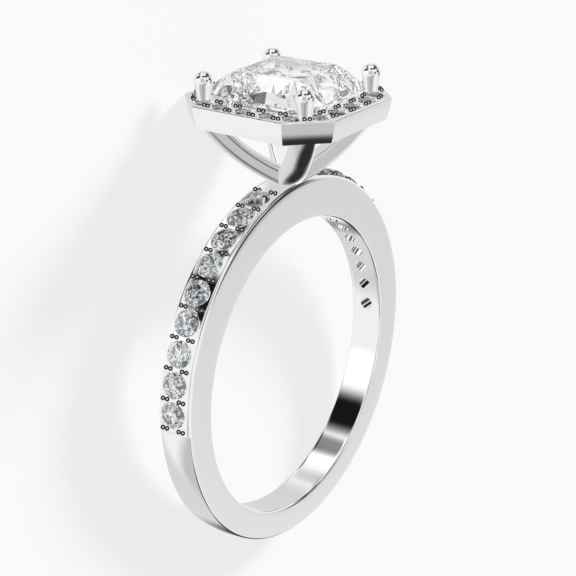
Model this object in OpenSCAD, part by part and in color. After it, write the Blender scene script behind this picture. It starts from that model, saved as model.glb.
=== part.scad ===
// Halo ring in polished white metal: a band with stones set in its shoulders, and a raised head
// with a cut-cornered square stone inside an octagonal halo of small stones.
// The ring is shaped upright, with the finger along Y and the head up, and then laid on its side.

/* [Band] */
// Inside diameter of the ring
finger_d = 17.3; // [15:0.1:20]
// Width of the band along the finger
band_w = 2; // [1.9:0.05:2.6]
// Thickness of the band under the head
band_top_t = 2.37; // [2.2:0.01:2.8]
// Thickness of the band at the bottom
band_bottom_t = 1.68; // [1.4:0.01:2]
// How much lower the plain part is polished than the part with stones
plain_drop = 0.03; // [0.01:0.01:0.08]
// Height of the dome across the plain part
band_dome = 0.1; // [0.04:0.01:0.2]
// Radius of the band's rounded edges
band_edge_r = 0.12; // [0.04:0.01:0.16]

/* [Shoulder stones] */
// Number of stones in each shoulder
shoulder_stones = 9; // [3:1:9]
// Diameter of a shoulder stone
shoulder_d = 1.5; // [1.2:0.01:1.54]
// Metal between neighbouring shoulder stones
shoulder_land = 0.17; // [0.14:0.01:0.2]
// Half of the plain bridge under the head, from its middle to the first stone's middle
bridge_half = 3.02; // [2.6:0.01:3.2]
// Metal from the last stone's edge to the plain part
shoulder_end = 0.37; // [0.3:0.01:1]
// Radius of the open hole behind a shoulder stone
shoulder_hole_r = 0.4; // [0.2:0.01:0.5]
// Height of a shoulder stone's girdle above the metal
shoulder_sit = 0.03; // [0.03:0.01:0.12]
// Radius of a bead beside a shoulder stone
shoulder_bead_r = 0.13; // [0.08:0.01:0.15]

/* [Halo] */
// Free height between the band and the halo
halo_gap = 3.46; // [3:0.02:4.4]
// Height of the halo
halo_h = 1.27; // [1:0.01:1.6]
// Width of the halo's rim round the centre stone
halo_w = 1.475; // [1.4:0.005:1.8]
// How far each side of the halo leans in towards its bottom
halo_taper = 0.26; // [0.05:0.01:0.4]
// Bevel along the halo's top edge
halo_bevel = 0.08; // [0.03:0.01:0.12]
// How far the centre stone reaches over the halo's opening
halo_ledge = 0.145; // [0.1:0.005:0.2]
// Diameter of a halo stone
halo_d = 1.06; // [0.9:0.01:1.1]
// Distance between the middles of neighbouring halo stones
halo_pitch = 1.5; // [1.44:0.01:1.56]
// Radius of the open hole behind a halo stone
halo_hole_r = 0.28; // [0.15:0.01:0.35]
// Width of the bevel cut round a halo stone
halo_seat_bevel = 0.05; // [0.03:0.01:0.08]
// Radius of a bead beside a halo stone
halo_bead_r = 0.13; // [0.08:0.01:0.14]

/* [Small stone cut] */
// Width of the table, as a share of the diameter
round_table = 0.57; // [0.5:0.01:0.65]
// Height of the crown, as a share of the diameter
round_crown = 0.15; // [0.12:0.01:0.17]
// Height of the girdle, as a share of the diameter
round_girdle = 0.03; // [0.02:0.005:0.05]
// Depth of the pavilion, as a share of the diameter
round_pavilion = 0.43; // [0.4:0.01:0.45]
// How far in the lower halves reach, as a share of the radius
round_lower = 0.24; // [0.18:0.01:0.3]
// How far a halo stone's table stands above the metal
halo_proud = 0.05; // [0.03:0.01:0.12]

/* [Centre stone] */
// Width of the centre stone
stone_w = 7; // [6.6:0.05:7.8]
// Width of the centre stone across its cut corners
stone_corner_w = 8.2; // [8:0.02:8.4]
// Width of the table
table_w = 4.12; // [3.6:0.02:4.6]
// Width of the table across its cut corners
table_corner_w = 5.5; // [5.2:0.02:5.6]
// Height of the crown
crown_h = 1.1; // [0.8:0.02:1.3]
// Height of the girdle
girdle_h = 0.1; // [0.06:0.01:0.2]
// Depth of the pavilion
pavilion_h = 3.25; // [2.8:0.05:3.4]
// Height of the girdle above the halo's top
stone_lift = 0.3; // [0.2:0.01:0.5]

/* [Prongs] */
// Width of a prong bar
bar_w = 1.3; // [1:0.02:1.5]
// Thickness of a prong bar
bar_t = 1; // [0.8:0.02:1.2]
// Radius of a prong bar's bend, along its middle
bar_bend_r = 10.5; // [8:0.1:14]
// Height of the dome across a prong bar's outer face
bar_dome = 0.18; // [0.05:0.01:0.25]
// Radius of a prong bar's rounded inner edges
bar_edge_r = 0.16; // [0.1:0.01:0.2]
// Radius of a claw's round end
claw_r = 0.53; // [0.45:0.01:0.6]
// Radius of a claw where it rises from the halo
claw_foot_r = 0.35; // [0.3:0.01:0.42]
// How far a claw grips over the centre stone's corner
claw_grip = 0.03; // [0:0.01:0.08]
// How far a claw stands above the table
claw_rise = 0.01; // [-0.1:0.01:0.3]

/* [Clearances] */
// Gap between a stone and its metal
stone_gap = 0.02; // [0.01:0.005:0.04]

/* [Hidden] */
SIDES = ["left", "right"];
$fn = 144;
small_fn = 36;
// How far a cutter reaches past what it cuts
over = 1;
// Depth of the plain core under the meeting parts of the band
core_lap = 0.06;
// Half an eighth of a turn, between neighbouring facets of a round stone
half_facet = 22.5;

finger_r = finger_d / 2;
outer_r = finger_r + (band_top_t + band_bottom_t + plain_drop) / 2;
lift = (band_top_t - band_bottom_t - plain_drop) / 2;
plain_r = outer_r - plain_drop;
edge_y = band_w / 2 - band_edge_r;
// The two parts of the band start outside the bore's lips and share a plain core with them
part_r = finger_r + band_edge_r + lift + core_lap;
core_r = part_r + lift + core_lap;

shoulder_proud = shoulder_sit + (round_crown + round_girdle) * shoulder_d;
shoulder_girdle_r = outer_r + shoulder_sit + round_girdle * shoulder_d;
shoulder_first = deg(bridge_half / outer_r);
shoulder_step = deg((shoulder_d + shoulder_land) / shoulder_girdle_r);
shoulder_last = shoulder_first + (shoulder_stones - 1) * shoulder_step;
set_angle = shoulder_last + deg((shoulder_d / 2 + shoulder_end) / outer_r);

band_top_z = finger_r + band_top_t;
halo_bottom_z = band_top_z + halo_gap;
halo_top_z = halo_bottom_z + halo_h;
halo_rim_z = halo_top_z - halo_bevel;
girdle_z = halo_top_z + stone_lift;
table_z = girdle_z + girdle_h + crown_h;
stone_half = stone_w / 2;
stone_corner = stone_corner_w / 2;
hole_half = stone_half - halo_ledge;
hole_corner = stone_corner - halo_ledge;
halo_half = hole_half + halo_w;
halo_corner = hole_corner + halo_w;

// Middles of the twenty halo stones, three on each side and two at each corner, in order
halo_places = [
    for (q = [0:3]) each concat(
        [for (k = [-1:1]) turned([hole_half + halo_w / 2, k * halo_pitch], 90 * q)],
        [for (k = [-1, 1]) turned([hole_corner + halo_w / 2, k * halo_pitch / 2], 90 * q + 45)]
    )
];
// Of each pair of neighbours, whether both lie at one cut corner, where a claw stands inside
corner_pairs = [for (k = [0:19]) k % 5 == 3];
// Beads lie across the line between two stones, this far from it and in pairs this far apart
halo_bead_reach = 0.47;
halo_bead_half = 0.14;
halo_bead_rise = 0.07;
// Places of the beads across the band, and their height above it
shoulder_bead_y = [0.38, 0.66];
shoulder_bead_rise = 0.08;

// The centre stone's inner rings, as shares of its width and heights
crown_step_w = 0.86;
crown_step_h = 0.48;
pavilion_upper_w = 0.785;
pavilion_upper_h = 0.36;
pavilion_lower_w = 0.41;
pavilion_lower_h = 0.7;

// Each prong bar's middle runs from the band's top to the claw, on an arc in the diagonal plane,
// and its ends reach into the band and up into the halo
bar_foot = 0.35;
bar_tuck = 0.34;
claw_s = stone_corner + claw_r - claw_grip;
claw_ball_z = table_z + claw_rise - claw_r;
// The claw's cone touches its round end this many degrees below the ball's middle
claw_drop = claw_ball_z - halo_top_z;
claw_turn = atan2(claw_drop, claw_foot_r) - acos(claw_r / norm([claw_foot_r, claw_drop]));
bar_end_z = halo_bottom_z + bar_tuck;
bar_chord = [claw_s, bar_end_z - band_top_z];
bar_sag = sqrt(pow(bar_bend_r, 2) - pow(norm(bar_chord) / 2, 2));
bar_centre = [0, band_top_z] + bar_chord / 2 + [-bar_chord.y, bar_chord.x] / norm(bar_chord) * bar_sag;
bar_from = atan2(band_top_z - bar_centre.y, -bar_centre.x) - deg(bar_foot / bar_bend_r);
bar_to = atan2(bar_end_z - bar_centre.y, claw_s - bar_centre.x);

// On its side the ring leans on the halo's rim and on the bottom of the band
lean_y = halo_half - edge_y;
lean_z = halo_rim_z + plain_r - band_dome - lift - band_edge_r;
lean = acos(band_edge_r / norm([lean_y, lean_z])) - atan2(lean_z, lean_y);
floor_z = halo_rim_z * sin(lean) - halo_half * cos(lean);
claw_side = claw_s / sqrt(2);
reach_head = claw_ball_z * cos(lean) + claw_side * sin(lean) + claw_r;
reach_foot = (plain_r - band_dome - lift - band_edge_r) * cos(lean) + edge_y * sin(lean) + band_edge_r;

function deg(radians) = radians * 180 / PI;
function turned(p, angle) = [
    p.x * cos(angle) - p.y * sin(angle),
    p.x * sin(angle) + p.y * cos(angle)
];
function octagon(half, corner) = let (s = corner * sqrt(2) - half) [
    [half, -s], [half, s], [s, half], [-s, half],
    [-half, s], [-half, -s], [-s, -half], [s, -half]
];
function level(outline, z) = [for (p = outline) [p.x, p.y, z]];
function ring_points(n, r, z, start) = [
    for (k = [0:n - 1]) [r * cos(start + k * 360 / n), r * sin(start + k * 360 / n), z]
];
function bead_pair_places(a, b, sign) =
    let (along = (b - a) / norm(b - a), out = [along.y, -along.x])
    [for (k = [-1, 1]) (a + b) / 2 + out * sign * halo_bead_reach + along * k * halo_bead_half];

// Lays the upright ring on its side, with its box centred over the origin and the floor at zero
module laid_down() {
    translate([(reach_foot - reach_head) / 2, 0, -floor_z])
        rotate([0, -lean, 0])
            rotate([-90, 0, -90])
                children();
}

// Turns shapes made about Z so that they lie about the finger
module around_finger() {
    rotate([90, 0, 0]) children();
}

module arc_of(from, to) {
    rotate([0, 0, from]) rotate_extrude(angle = to - from) children();
}

// Moves to the band's outside, at an angle from its top towards one side
module on_band(angle) {
    translate([0, 0, lift]) rotate([0, angle, 0]) translate([0, 0, outer_r]) children();
}

// What rounding an edge takes away, from where the first face's normal has turned to an angle
module edge_cut(r, angle) {
    reach = 3 * r;
    difference() {
        polygon([[0, 0], reach * [cos(angle), sin(angle)], [reach, reach], [0, reach]]);
        circle(r, $fn = small_fn);
    }
}

// Bar section from low to high, with a dome of the given rise on its high side and rounded edges
module domed_section(low, high, w, rise, edge_r) {
    dome_r = (pow(w / 2, 2) + pow(rise, 2)) / (2 * rise);
    edge = w / 2 - edge_r;
    difference() {
        intersection() {
            translate([low, -w / 2]) square([high - low, w]);
            translate([high - dome_r, 0]) circle(dome_r, $fn = 360);
        }
        for (s = [0, 1]) mirror([0, s])
            translate([high - dome_r + sqrt(pow(dome_r - edge_r, 2) - pow(edge, 2)), edge])
                edge_cut(edge_r, asin(edge / (dome_r - edge_r)));
    }
}

// Section of the part with stones: flat outside, with rounded edges
module flat_section() {
    difference() {
        translate([part_r, -band_w / 2]) square([outer_r - part_r, band_w]);
        for (s = [0, 1]) mirror([0, s])
            translate([outer_r - band_edge_r, edge_y]) edge_cut(band_edge_r, 0);
    }
}

// The finger's bore with its rounded lips
module bore() {
    around_finger() rotate_extrude() {
        translate([0, -band_w / 2 - over]) square([finger_r, band_w + 2 * over]);
        for (s = [0, 1]) mirror([0, s]) translate([finger_r, edge_y]) difference() {
            translate([-over, 0]) square([over + band_edge_r, band_edge_r + over]);
            translate([band_edge_r, 0]) circle(band_edge_r, $fn = small_fn);
        }
    }
}

// Cutter for one round stone's seat, from the metal's surface at zero: wall, cone and hole
module seat(d, proud, hole_r, depth) {
    r = d / 2 + stone_gap;
    girdle_bottom = proud - (round_crown + round_girdle) * d - stone_gap;
    cone_h = (r - hole_r) * round_pavilion * 2;
    rotate_extrude($fn = small_fn) polygon([
        [0, -depth],
        [hole_r, -depth],
        [hole_r, girdle_bottom - cone_h],
        [r, girdle_bottom],
        [r, proud + stone_gap],
        [0, proud + stone_gap]
    ]);
}

// Cutter for the bevel round one round stone's seat
module seat_bevel(d, proud, bevel) {
    r = d / 2 + stone_gap;
    rise = proud + stone_gap;
    rotate_extrude($fn = small_fn)
        polygon([[0, -bevel], [r, -bevel], [r + bevel + rise, rise], [0, rise]]);
}

// Round brilliant: table, stars, kites, halves, girdle, lower halves and mains, table at proud
module round_stone(d, proud) {
    r = d / 2;
    table_r = r * round_table;
    crown = d * round_crown;
    girdle = d * round_girdle;
    pavilion = d * round_pavilion;
    star_r = (table_r * cos(half_facet) + r) / 2;
    star_z = crown * (r - star_r * cos(half_facet)) / (r - table_r);
    half_r = r * round_lower;
    half_z = -girdle - pavilion * (1 - half_r * cos(half_facet) / r);
    points = concat(
        ring_points(8, table_r, crown, 0),
        ring_points(8, star_r, star_z, half_facet),
        ring_points(16, r, 0, 0),
        ring_points(16, r, -girdle, 0),
        ring_points(8, half_r, half_z, half_facet),
        [[0, 0, -girdle - pavilion]]
    );
    star = 8;
    top = 16;
    low = 32;
    half = 48;
    culet = 56;
    faces = concat(
        [[for (k = [7:-1:0]) k]],
        [for (k = [0:7]) [k, (k + 1) % 8, star + k]],
        [for (k = [0:7]) [k, star + k, top + 2 * k, star + (k + 7) % 8]],
        [for (k = [0:7]) [star + k, top + 2 * k + 1, top + 2 * k]],
        [for (k = [0:7]) [star + k, top + (2 * k + 2) % 16, top + 2 * k + 1]],
        [for (k = [0:15]) [top + k, top + (k + 1) % 16, low + (k + 1) % 16, low + k]],
        [for (k = [0:7]) [low + 2 * k, low + 2 * k + 1, half + k]],
        [for (k = [0:7]) [low + 2 * k + 1, low + (2 * k + 2) % 16, half + k]],
        [for (k = [0:7]) [low + 2 * k, half + k, culet, half + (k + 7) % 8]]
    );
    color("azure") translate([0, 0, proud - crown]) polyhedron(points, faces);
}

// Octagonal solid whose sides follow a list of [share inwards, height] down to up, all planes
module octagon_solid(half, corner, steps) {
    intersection_for (q = [0:3]) {
        size = q % 2 == 0 ? half : corner;
        rotate([0, 0, 45 * q]) rotate([90, 0, 0]) linear_extrude(4 * half, center = true) polygon(concat(
            [for (p = steps) [size + p[0], p[1]]],
            [for (k = [len(steps) - 1:-1:0]) [-size - steps[k][0], steps[k][1]]]
        ));
    }
}

module shoulder_stone(side, k) {
    sign = side == "left" ? -1 : 1;
    laid_down() on_band(sign * (shoulder_first + (k - 1) * shoulder_step))
        round_stone(shoulder_d, shoulder_proud);
}

module halo_stone(k) {
    p = halo_places[k - 1];
    laid_down() translate([p.x, p.y, halo_top_z]) rotate([0, 0, atan2(p.y, p.x)])
        round_stone(halo_d, halo_proud);
}

// Cut-cornered square stone: table, two crown steps, girdle, and a pavilion of three rings
module center_stone() {
    step_z = girdle_h + crown_h * crown_step_h;
    upper = ring_points(8, stone_half * pavilion_upper_w, -pavilion_h * pavilion_upper_h, 0);
    points = concat(
        level(octagon(table_w / 2, table_corner_w / 2), girdle_h + crown_h),
        level(octagon(stone_half, stone_corner) * crown_step_w, step_z),
        level(octagon(stone_half, stone_corner), girdle_h),
        level(octagon(stone_half, stone_corner), 0),
        [for (k = [0:7]) [
            upper[k].x * (k % 2 == 0 ? 1 : stone_corner / stone_half),
            upper[k].y * (k % 2 == 0 ? 1 : stone_corner / stone_half),
            upper[k].z
        ]],
        ring_points(8, stone_half * pavilion_lower_w, -pavilion_h * pavilion_lower_h, half_facet),
        [[0, 0, -pavilion_h]]
    );
    faces = concat(
        [[for (k = [7:-1:0]) k]],
        [for (ring = [0, 8, 16], k = [0:7])
            [ring + k, ring + (k + 1) % 8, ring + 8 + (k + 1) % 8, ring + 8 + k]],
        [for (k = [0:7]) [24 + k, 24 + (k + 1) % 8, 32 + k]],
        [for (k = [0:7]) [24 + (k + 1) % 8, 32 + (k + 1) % 8, 32 + k]],
        [for (k = [0:7]) [32 + k, 32 + (k + 1) % 8, 40 + k]],
        [for (k = [0:7]) [32 + (k + 1) % 8, 40 + (k + 1) % 8, 40 + k]],
        [for (k = [0:7]) [40 + k, 40 + (k + 1) % 8, 48]]
    );
    color("azure") laid_down() translate([0, 0, girdle_z]) polyhedron(points, faces);
}

// Room for the centre stone between the claws, a gap larger than the stone all round
module center_pocket() {
    octagon_solid(stone_half + stone_gap, stone_corner + stone_gap, [
        [-pavilion_h * pavilion_upper_h, girdle_z - pavilion_h * pavilion_upper_h],
        [0, girdle_z - stone_gap],
        [0, girdle_z + girdle_h],
        [-crown_h, table_z + stone_gap]
    ]);
}

module band() {
    difference() {
        union() {
            translate([0, 0, lift]) around_finger() {
                arc_of(90 - set_angle, 90 + set_angle) flat_section();
                arc_of(90 + set_angle, 450 - set_angle)
                    domed_section(part_r, plain_r, band_w, band_dome, band_edge_r);
            }
            around_finger() cylinder(r = core_r, h = band_w, center = true);
        }
        bore();
        for (side = [-1, 1], k = [0:shoulder_stones - 1])
            on_band(side * (shoulder_first + k * shoulder_step))
                seat(shoulder_d, shoulder_proud, shoulder_hole_r, band_top_t + over);
    }
}

module shoulder_beads() {
    for (side = [-1, 1], k = [0:shoulder_stones], y = shoulder_bead_y, s = [-1, 1])
        on_band(side * (shoulder_first + (k - 0.5) * shoulder_step))
            translate([0, s * y * band_w / 2, shoulder_bead_rise])
                sphere(shoulder_bead_r, $fn = small_fn);
}

module halo_beads() {
    for (k = [0:19]) {
        a = halo_places[k];
        b = halo_places[(k + 1) % 20];
        for (sign = corner_pairs[k] ? [1] : [-1, 1], p = bead_pair_places(a, b, sign))
            translate([p.x, p.y, halo_top_z + halo_bead_rise])
                sphere(halo_bead_r, $fn = small_fn);
    }
}

module halo_frame() {
    difference() {
        octagon_solid(halo_half, halo_corner, [
            [-halo_taper, halo_bottom_z],
            [0, halo_rim_z],
            [-halo_bevel, halo_top_z]
        ]);
        octagon_solid(hole_half, hole_corner, [
            [0, halo_bottom_z - over],
            [0, halo_top_z + over]
        ]);
    }
}

// A claw at each cut corner: a cone that widens from the halo up to its round end
module claws() {
    foot_z = halo_bottom_z + halo_h / 2;
    meet = claw_r * [cos(claw_turn), -sin(claw_turn)] + [0, claw_ball_z];
    for (q = [0:3]) rotate([0, 0, 45 + 90 * q]) translate([claw_s, 0, 0]) rotate_extrude($fn = 48) {
        polygon([[0, foot_z], [claw_foot_r, foot_z], [claw_foot_r, halo_top_z], meet, [0, meet.y]]);
        translate([0, claw_ball_z]) intersection() {
            circle(claw_r);
            translate([0, meet.y - claw_ball_z]) square([claw_r, 2 * claw_r]);
        }
    }
}

// Section of a prong bar: domed on its outer face, with rounded inner edges
module bar_section() {
    dome_r = (pow(bar_w / 2, 2) + pow(bar_dome, 2)) / (2 * bar_dome);
    intersection() {
        union() {
            translate([bar_edge_r - bar_t / 2, -bar_w / 2]) square([bar_t, bar_w]);
            translate([-bar_t / 2, bar_edge_r - bar_w / 2]) square([bar_t, bar_w - 2 * bar_edge_r]);
            for (y = [-1, 1]) translate([bar_edge_r - bar_t / 2, y * (bar_w / 2 - bar_edge_r)])
                circle(bar_edge_r, $fn = small_fn);
        }
        translate([bar_t / 2 - dome_r, 0]) circle(dome_r);
    }
}

module prong_bars() {
    for (q = [0:3]) rotate([0, 0, 45 + 90 * q]) translate([bar_centre.x, 0, bar_centre.y])
        around_finger() arc_of(bar_from, bar_to) translate([bar_bend_r, 0]) bar_section();
}

module head() {
    difference() {
        union() {
            halo_frame();
            claws();
        }
        center_pocket();
        for (p = halo_places) translate([p.x, p.y, halo_top_z]) {
            seat(halo_d, halo_proud, halo_hole_r, halo_h + over);
            seat_bevel(halo_d, halo_proud, halo_seat_bevel);
        }
    }
    prong_bars();
}

module ring_body() {
    color("silver") laid_down() {
        band();
        head();
        shoulder_beads();
        halo_beads();
    }
}

ring_body();
center_stone();
for (side = SIDES, k = [1:shoulder_stones])
    shoulder_stone(side, k);
for (k = [1:20])
    halo_stone(k);
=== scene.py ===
"""Looks of a halo ring that lies on its side: polished white metal and cut stones on a pale floor.

The metal is built here as smooth surfaces in place of the ring's body, and the stones keep the
frame's own facets. Shapes are worked out in the upright ring's frame, in millimetres: X across
the finger hole, Y along the finger, Z towards the head, from the middle of the finger hole.
"""

import math

import bmesh
import bpy
import numpy as np
from mathutils import Matrix, Vector


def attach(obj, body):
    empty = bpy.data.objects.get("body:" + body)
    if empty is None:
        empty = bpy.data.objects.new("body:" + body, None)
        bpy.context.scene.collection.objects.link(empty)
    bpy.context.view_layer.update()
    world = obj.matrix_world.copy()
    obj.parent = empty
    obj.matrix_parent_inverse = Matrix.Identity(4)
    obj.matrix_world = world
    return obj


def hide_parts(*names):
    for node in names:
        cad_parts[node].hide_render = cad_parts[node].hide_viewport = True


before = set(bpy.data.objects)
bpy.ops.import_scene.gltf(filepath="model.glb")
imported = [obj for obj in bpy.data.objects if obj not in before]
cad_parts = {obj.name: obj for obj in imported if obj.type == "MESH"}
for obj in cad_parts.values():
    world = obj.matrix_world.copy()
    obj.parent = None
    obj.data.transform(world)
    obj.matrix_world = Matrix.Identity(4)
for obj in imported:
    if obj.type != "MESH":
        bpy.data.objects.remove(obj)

bl_info = {
    "name": "Halo ring looks",
    "version": (1, 0, 0),
    "blender": (4, 5, 0),
    "location": "View3D > Sidebar > Halo ring",
    "description": "Builds the smooth metal, the finishes and the studio for a halo ring",
    "category": "Object",
}

BODY = "ring_body"
MM = 0.001
# The ring's lean on the floor, and where the middle of its finger hole then is
LEAN = math.radians(8.44746)
CENTRE = np.array([-3.65335, 0.0, 2.47564])
# Turns upright vectors into the frame's: the head lies along +X and the finger's axis near +Z
TURN = np.array([
    [0.0, math.sin(LEAN), math.cos(LEAN)],
    [-1.0, 0.0, 0.0],
    [0.0, -math.cos(LEAN), math.sin(LEAN)],
])


# Settings: lengths are in millimetres, and angles in radians, which Blender shows as degrees

class HALO_PG_band(bpy.types.PropertyGroup):
    """Sizes of the band and of the seats in its shoulders."""
    bore_r: bpy.props.FloatProperty(
        name="Bore radius", default=8.65, description="Radius of the finger hole")
    outer_r: bpy.props.FloatProperty(
        name="Outer radius", default=10.69, description="Outer radius of the part with stones")
    lift: bpy.props.FloatProperty(
        name="Lift", default=0.33, description="How far the outer circle's middle lies above the bore's")
    width: bpy.props.FloatProperty(
        name="Width", default=2.0, description="Width along the finger")
    edge_r: bpy.props.FloatProperty(
        name="Edge radius", default=0.12, description="Radius of the rounded edges")
    edge_fall: bpy.props.FloatProperty(
        name="Edge fall", default=0.27,
        description="How far down the side the shoulders' outer edges are rounded")
    drop: bpy.props.FloatProperty(
        name="Plain drop", default=0.03, description="How much lower the plain part is polished")
    dome: bpy.props.FloatProperty(
        name="Dome", default=0.1, description="Height of the dome across the plain part")
    stones: bpy.props.IntProperty(
        name="Stones a side", default=9, min=1, description="Stones in each shoulder")
    first: bpy.props.FloatProperty(
        name="First stone", default=math.radians(16.18644), subtype="ANGLE",
        description="Angle from the top to the first stone")
    step: bpy.props.FloatProperty(
        name="Step", default=math.radians(8.88845), subtype="ANGLE",
        description="Angle between neighbouring stones")
    set_end: bpy.props.FloatProperty(
        name="End of the set part", default=math.radians(93.2970), subtype="ANGLE",
        description="Angle from the top to the plain part")
    seat_r: bpy.props.FloatProperty(
        name="Seat radius", default=0.77, description="Radius of a seat")
    sit: bpy.props.FloatProperty(
        name="Seat rim", default=0.01,
        description="Height over the metal where the seat's cone would reach its radius")
    groove: bpy.props.FloatProperty(
        name="Groove", default=0.1,
        description="How far the rails beside the stones fall towards the middle")
    hole_r: bpy.props.FloatProperty(
        name="Hole radius", default=0.4, description="Radius of the open hole behind a stone")


class HALO_PG_halo(bpy.types.PropertyGroup):
    """Sizes of the octagonal halo and of its seats."""
    half: bpy.props.FloatProperty(
        name="Opening", default=3.355, description="Middle to the opening's long side")
    corner: bpy.props.FloatProperty(
        name="Opening corner", default=3.955, description="Middle to the opening's cut corner")
    width: bpy.props.FloatProperty(
        name="Rim width", default=1.475, description="Width of the rim")
    top_z: bpy.props.FloatProperty(
        name="Top", default=15.75, description="Height of the rim's top")
    height: bpy.props.FloatProperty(
        name="Height", default=1.27, description="Height of the rim")
    bevel: bpy.props.FloatProperty(
        name="Edge radius", default=0.08, description="Radius of the rounded top edge")
    taper: bpy.props.FloatProperty(
        name="Taper", default=0.26, description="How far each side leans in towards its bottom")
    fullness: bpy.props.FloatProperty(
        name="Fullness", default=0.03, description="How far each side swells between its edges")
    pitch: bpy.props.FloatProperty(
        name="Pitch", default=1.5, description="Distance between stones of one side")
    seat_r: bpy.props.FloatProperty(
        name="Seat radius", default=0.55, description="Radius of a seat")
    seat_bevel: bpy.props.FloatProperty(
        name="Seat bevel", default=0.05, description="Width of the bevel round a seat")
    wall: bpy.props.FloatProperty(
        name="Seat wall", default=0.1608, description="Depth of the seat's straight wall")
    hole_r: bpy.props.FloatProperty(
        name="Hole radius", default=0.28, description="Radius of the open hole behind a stone")


class HALO_PG_prongs(bpy.types.PropertyGroup):
    """Sizes of the prong bars, the claws and the beads."""
    bar_w: bpy.props.FloatProperty(
        name="Bar width", default=1.3, description="Width of a prong bar")
    bar_t: bpy.props.FloatProperty(
        name="Bar thickness", default=1.0, description="Thickness of a prong bar")
    bar_dome: bpy.props.FloatProperty(
        name="Bar dome", default=0.18, description="Height of the dome on a bar's outer face")
    bar_edge: bpy.props.FloatProperty(
        name="Bar edge", default=0.16, description="Radius of a bar's rounded inner edges")
    bar_rim: bpy.props.FloatProperty(
        name="Bar rim", default=0.2, description="Radius of a bar's rounded outer edges")
    bend_r: bpy.props.FloatProperty(
        name="Bend radius", default=10.5, description="Radius of a bar's bend along its middle")
    bend_s: bpy.props.FloatProperty(
        name="Bend middle, across", default=-4.11166, description="The bend's middle, outwards")
    bend_z: bpy.props.FloatProperty(
        name="Bend middle, height", default=20.6815, description="The bend's middle, upwards")
    bend_from: bpy.props.FloatProperty(
        name="Bend start", default=math.radians(-68.8566), subtype="ANGLE",
        description="Angle where a bar starts")
    bend_to: bpy.props.FloatProperty(
        name="Bend end", default=math.radians(-33.9339), subtype="ANGLE",
        description="Angle where a bar ends")
    claw_s: bpy.props.FloatProperty(
        name="Claw reach", default=4.6, description="Middle of the head to a claw's axis")
    claw_r: bpy.props.FloatProperty(
        name="Claw radius", default=0.53, description="Radius of a claw's round end")
    claw_foot_r: bpy.props.FloatProperty(
        name="Claw foot radius", default=0.35, description="Radius of a claw where it rises from the rim")
    claw_base: bpy.props.FloatProperty(
        name="Claw base", default=15.75, description="Height where a claw starts to widen")
    claw_foot: bpy.props.FloatProperty(
        name="Claw foot", default=15.115, description="Height where a claw starts inside the rim")
    claw_ball: bpy.props.FloatProperty(
        name="Claw ball", default=16.73, description="Height of the middle of a claw's round end")
    stone_corner: bpy.props.FloatProperty(
        name="Stone corner", default=4.12, description="Middle of the head to the notch for the stone")
    girdle_z: bpy.props.FloatProperty(
        name="Girdle", default=16.05, description="Height of the centre stone's girdle")
    bead_r: bpy.props.FloatProperty(
        name="Bead radius", default=0.13, description="Radius of a bead")


class HALO_PG_looks(bpy.types.PropertyGroup):
    """Finishes of the metal and the stones, and the size of the small stones' painted sparkle."""
    metal: bpy.props.FloatVectorProperty(
        name="Metal", subtype="COLOR", default=(0.86, 0.86, 0.855),
        description="Colour of the polished metal")
    metal_rough: bpy.props.FloatProperty(
        name="Metal roughness", default=0.05, min=0, max=1, subtype="FACTOR",
        description="Roughness of the polish")
    stone_ior: bpy.props.FloatProperty(
        name="Stone index", default=2.42, description="Refractive index of the stones")
    # Size of the small stones' painted sparkle: light and dark flecks that stand in for reflected facets
    painted_fleck_size: bpy.props.FloatProperty(
        name="Fleck", default=0.16, description="Size of a small stone's light and dark flecks")


class HALO_PG_stage(bpy.types.PropertyGroup):
    """Camera and light."""
    azimuth: bpy.props.FloatProperty(
        name="Azimuth", default=math.radians(55.990), subtype="ANGLE",
        description="Camera's turn round the upright ring")
    elevation: bpy.props.FloatProperty(
        name="Elevation", default=math.radians(21.533), subtype="ANGLE",
        description="Camera's height over the upright ring")
    roll: bpy.props.FloatProperty(
        name="Roll", default=math.radians(0.106), subtype="ANGLE", description="Camera's roll")
    distance: bpy.props.FloatProperty(
        name="Distance", default=96.643, description="Camera to the finger hole's middle, in millimetres")
    shift_x: bpy.props.FloatProperty(
        name="Offset across", default=-0.027, description="Ring's offset in the picture, in millimetres")
    shift_y: bpy.props.FloatProperty(
        name="Offset upwards", default=-4.211, description="Ring's offset in the picture, in millimetres")
    surround: bpy.props.FloatProperty(
        name="Surroundings", default=1.02,
        description="Brightness of the white surroundings in the polish")
    fill: bpy.props.FloatProperty(
        name="Fill", default=0.4, description="Brightness of the surroundings on the floor")
    glow: bpy.props.FloatProperty(
        name="Floor glow", default=0.762, description="Brightness of the floor's own light")
    key: bpy.props.FloatProperty(
        name="Key light", default=5.0, description="Strength of the soft light from the right")
    key_height: bpy.props.FloatProperty(
        name="Key height", default=math.radians(26.0), subtype="ANGLE",
        description="Height of the soft light over the floor")
    lens: bpy.props.FloatProperty(
        name="Lens", default=105.05, unit="CAMERA", description="Focal length, in millimetres")


# Surfaces

def to_frame(points):
    """Upright millimetres to the frame's metres: turned so that the ring lies, then moved."""
    return (np.asarray(points, float) @ TURN.T + CENTRE) * MM


def direction(vector):
    """An upright direction as a direction of the frame."""
    return np.asarray(vector, float) @ TURN.T


def patch(points, close_u=False, close_v=False):
    """A grid of points, rows by columns, as points and quads. A closed side joins its last line to its
    first."""
    nu, nv = points.shape[:2]
    iu = np.arange(nu if close_u else nu - 1)
    iv = np.arange(nv if close_v else nv - 1)
    u, v = np.meshgrid(iu, iv, indexing="ij")
    u2, v2 = (u + 1) % nu, (v + 1) % nv
    quads = np.stack([u * nv + v, u2 * nv + v, u2 * nv + v2, u * nv + v2], -1).reshape(-1, 4)
    return points.reshape(-1, 3), quads


def disc(rim):
    """A flat end: a fan from the middle of a closed line of points, as quads with a doubled corner."""
    n = len(rim)
    k = np.arange(n)
    return np.vstack([rim, rim.mean(0)]), np.stack([k, (k + 1) % n, np.full(n, n), np.full(n, n)], -1)


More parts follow.
